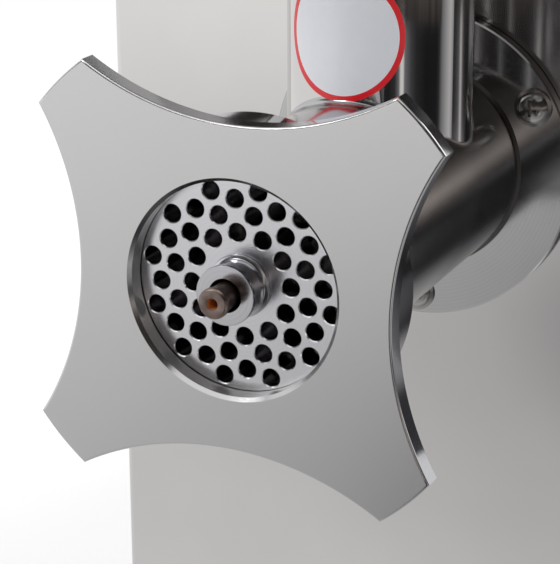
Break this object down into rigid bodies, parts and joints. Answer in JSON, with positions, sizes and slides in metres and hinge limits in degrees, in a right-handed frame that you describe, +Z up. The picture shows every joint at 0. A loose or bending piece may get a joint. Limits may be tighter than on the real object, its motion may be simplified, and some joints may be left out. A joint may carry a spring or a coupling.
{
  "type": "electric meat grinder",
  "caption": "Electric meat grinder: sheet-steel cabinet with geared motor, stainless grinding head with horned ring nut and perforated plate, feed throat, tray and pusher.",
  "frame": {"origin": "on the floor plane under the centre of the whole object's bounding box, under the auger's axis", "axes": "+Z up; the grinding head faces -Y; +X is the side with the controls"},
  "size_m": [0.274, 0.4026, 0.4188],
  "materials": {
    "steel_bright": "polished stainless steel",
    "steel_satin": "satin stainless steel",
    "steel_sheet": "brushed stainless sheet",
    "steel_machined": "machined steel",
    "steel_dark": "dark tool steel",
    "steel_core": "laminated steel",
    "steel_zinc": "zinc-plated steel",
    "cast_aluminium": "cast aluminium",
    "copper": "varnished copper wire",
    "rubber_black": "black rubber",
    "seal_rubber": "nitrile rubber",
    "plastic_black": "black plastic",
    "plastic_grey": "grey plastic",
    "plastic_white": "white food-grade plastic",
    "plastic_green": "green plastic",
    "plastic_red": "red plastic",
    "label_white": "white label film"
  },
  "bodies": {
    "machine": {"plate_key_pin": "steel_machined", "thrust_washer": "plastic_white", "barrel": "steel_bright", "mounting_flange": "steel_satin", "flange_screws": "steel_bright", "flange_gasket": "seal_rubber", "feed_throat": "steel_bright", "throat_label": "label_white", "front_panel": "steel_sheet", "left_panel": "steel_sheet", "right_panel": "steel_sheet", "top_panel": "steel_sheet", "rear_panel": "steel_sheet", "base_plate": "steel_sheet", "panel_screws": "steel_zinc", "rubber_feet": "rubber_black", "foot_screws": "steel_zinc", "gearbox_case": "cast_aluminium", "gearbox_cover": "cast_aluminium", "gearbox_bolts": "steel_zinc", "oil_seal": "seal_rubber", "output_front_bearing": "steel_machined", "output_rear_bearing": "steel_machined", "intermediate_bearings": "steel_machined", "motor_front_bell": "cast_aluminium", "motor_stator": "steel_core", "motor_windings": "copper", "motor_rear_bell": "cast_aluminium", "motor_bearings": "steel_machined", "motor_cradle": "steel_zinc", "capacitor": "plastic_grey", "capacitor_clip": "steel_zinc", "control_plate": "plastic_grey", "switch_block": "plastic_black", "power_inlet": "plastic_black", "inlet_blades": "steel_zinc"},
    "auger": {"auger_shaft": "steel_satin", "auger_flight": "steel_satin", "auger_stud": "steel_dark", "cutter_knife": "steel_machined", "output_shaft": "steel_machined", "output_gear": "steel_machined"},
    "intermediate": {"intermediate_shaft": "steel_machined", "intermediate_gear": "steel_machined", "intermediate_pinion": "steel_machined"},
    "rotor": {"motor_rotor": "steel_core", "motor_shaft": "steel_machined", "motor_pinion": "steel_machined", "cooling_fan": "plastic_black"},
    "plate": {"grinding_plate": "steel_satin", "plate_bush": "steel_satin"},
    "ring": {"ring_nut": "steel_satin"},
    "tray": {"feed_tray": "steel_sheet", "tray_collar": "steel_sheet"},
    "pusher": {"pusher_rod": "plastic_white", "pusher_knob": "plastic_white"},
    "start": {"start_button": "plastic_green"},
    "stop": {"stop_button": "plastic_red"},
    "reset": {"reset_button": "plastic_black"},
    "rocker": {"direction_rocker": "plastic_black"}
  },
  "joints": [
    {"name": "rotor_spin", "type": "hinge", "parent": "machine", "child": "rotor", "pos_m": [0, 0, 0.154], "axis": [0, -1, 0], "continuous": true},
    {"name": "intermediate_spin", "type": "hinge", "parent": "machine", "child": "intermediate", "pos_m": [0.03541, 0, 0.15006], "axis": [0, -1, 0], "continuous": true},
    {"name": "auger_spin", "type": "hinge", "parent": "machine", "child": "auger", "pos_m": [0, 0, 0.196], "axis": [0, -1, 0], "continuous": true},
    {"name": "plate_slide", "type": "slide", "parent": "machine", "child": "plate", "axis": [0, -1, 0], "range_m": [0, 0.0106]},
    {"name": "ring_turn", "type": "hinge", "parent": "plate", "child": "ring", "pos_m": [0, 0, 0.196], "axis": [0, -1, 0], "range_deg": [0, 1260]},
    {"name": "tray_lift", "type": "slide", "parent": "machine", "child": "tray", "axis": [0, 0, 1], "range_m": [0, 0.022]},
    {"name": "pusher_slide", "type": "slide", "parent": "tray", "child": "pusher", "axis": [0, 0, 1], "range_m": [0, 0.11]},
    {"name": "start_press", "type": "slide", "parent": "machine", "child": "start", "axis": [-1, 0, 0], "range_m": [0, 0.003], "stiffness_N_per_m": 500, "springref_m": -0.002},
    {"name": "stop_press", "type": "slide", "parent": "machine", "child": "stop", "axis": [-1, 0, 0], "range_m": [0, 0.003], "stiffness_N_per_m": 500, "springref_m": -0.002},
    {"name": "reset_press", "type": "slide", "parent": "machine", "child": "reset", "axis": [-1, 0, 0], "range_m": [0, 0.003], "stiffness_N_per_m": 500, "springref_m": -0.002},
    {"name": "rocker_tip", "type": "hinge", "parent": "machine", "child": "rocker", "pos_m": [0.113, 0.1008, 0.266], "axis": [0, 1, 0], "range_deg": [-8, 8]}
  ],
  "couplings": [
    {"joint": "intermediate_spin", "follows": "rotor_spin", "ratio": -0.35714},
    {"joint": "auger_spin", "follows": "rotor_spin", "ratio": 0.13605},
    {"joint": "plate_slide", "follows": "ring_turn", "m_per_rad": 0.00047746}
  ]
}
